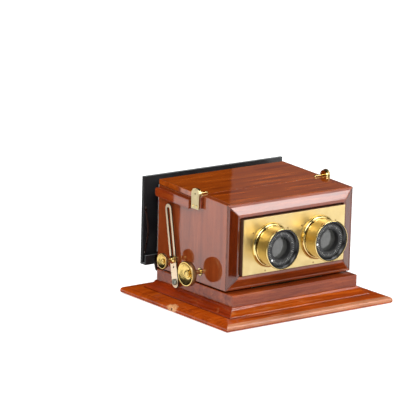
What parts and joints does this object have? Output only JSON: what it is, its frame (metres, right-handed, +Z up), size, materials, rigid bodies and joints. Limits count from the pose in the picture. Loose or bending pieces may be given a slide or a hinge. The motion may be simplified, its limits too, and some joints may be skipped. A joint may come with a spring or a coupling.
{
  "type": "tabletop stereoscope",
  "caption": "Mahogany stereo viewer with two brass eyepieces, a lid with a mirror and a geared picture stage, tilting on a stepped base.",
  "frame": {"origin": "middle of the base board's underside", "axes": "+Z up, the eyepieces face -Y, +X to the user's right as the user looks into the eyepieces"},
  "size_m": [0.2404, 0.202, 0.142],
  "materials": {
    "mahogany": "french polished",
    "mahogany_dark": "thinly polished",
    "brass": "polished and lacquered",
    "brass_satin": "satin, lacquered",
    "black_lacquer": "black japanning",
    "steel": "bright, slightly dulled",
    "glass": "clear, polished",
    "ground_glass": "finely ground",
    "mirror": "silvered",
    "black_card": "matt black",
    "felt": "dark felt"
  },
  "bodies": {
    "base": {"base_board": "mahogany", "base_moulding_front": "mahogany", "base_moulding_rear": "mahogany", "base_moulding_left": "mahogany", "base_moulding_right": "mahogany", "plinth_block": "mahogany", "rest_pad": "felt", "tilt_hinge_lower_leaf": "brass", "tilt_hinge_pin": "steel", "tilt_arm_washer": "brass", "tilt_arm_screw": "steel"},
    "body": {"tilt_hinge_upper_leaf": "brass", "side_panel_left": "mahogany", "side_panel_right": "mahogany", "bottom_board": "mahogany_dark", "top_board": "mahogany", "lens_board": "mahogany_dark", "front_rail_top": "mahogany", "front_rail_bottom": "mahogany", "front_rail_left": "mahogany", "front_rail_right": "mahogany", "lens_plate": "brass_satin", "lens_flange_left": "brass", "lens_flange_right": "brass", "lens_tube_left": "brass", "lens_tube_right": "brass", "lens_bezel_left": "black_lacquer", "lens_bezel_right": "black_lacquer", "lens_glass_left": "glass", "lens_glass_right": "glass", "septum": "black_card", "side_rail_left": "mahogany", "side_rail_right": "mahogany", "pivot_block_left": "mahogany", "pivot_block_right": "mahogany", "pivot_plate_left": "brass_satin", "pivot_plate_right": "brass_satin", "clamp_stud": "steel", "clamp_bush": "brass", "spindle_bush_left": "brass", "spindle_bush_right": "brass", "rack_guide": "brass"},
    "lid": {"lid": "mahogany", "lid_mirror": "mirror", "lid_pin_left": "brass", "lid_pin_right": "brass"},
    "tilt_arm": {"tilt_arm": "brass_satin"},
    "clamp_knob": {"clamp_knob": "brass"},
    "focus_drive": {"focus_spindle": "steel", "focus_knob_left": "brass", "focus_knob_right": "brass"},
    "stage": {"stage_frame": "black_lacquer", "ground_glass": "ground_glass", "card_ledge": "black_lacquer", "card_spring_left": "steel", "card_spring_right": "steel", "stage_foot_left": "steel", "stage_foot_right": "steel", "focus_rack_left": "brass", "focus_rack_right": "brass"}
  },
  "joints": [
    {"name": "body_tilt", "type": "hinge", "parent": "base", "child": "body", "pos_m": [0, -0.05455, 0.03247], "axis": [1, 0, 0], "range_deg": [0, 25]},
    {"name": "arm_swing", "type": "hinge", "parent": "base", "child": "tilt_arm", "pos_m": [-0.09315, 0.03115, 0.025], "axis": [1, 0, 0], "range_deg": [0, 23]},
    {"name": "clamp_knob_turn", "type": "hinge", "parent": "body", "child": "clamp_knob", "pos_m": [-0.105, 0.03609, 0.05042], "axis": [1, 0, 0], "range_deg": [0, 270]},
    {"name": "lid_open", "type": "hinge", "parent": "body", "child": "lid", "pos_m": [0, -0.00405, 0.13549], "axis": [1, 0, 0], "range_deg": [0, 100]},
    {"name": "stage_slide", "type": "slide", "parent": "body", "child": "stage", "axis": [0, 1, 0], "range_m": [-0.002, 0.022]},
    {"name": "focus_knob_turn", "type": "hinge", "parent": "body", "child": "focus_drive", "pos_m": [0, -0.01025, 0.046], "axis": [1, 0, 0], "range_deg": [-30, 302]}
  ],
  "couplings": [
    {"joint": "arm_swing", "follows": "body_tilt", "ratio": 0.888},
    {"joint": "focus_knob_turn", "follows": "stage_slide", "rad_per_m": 238.09}
  ]
}
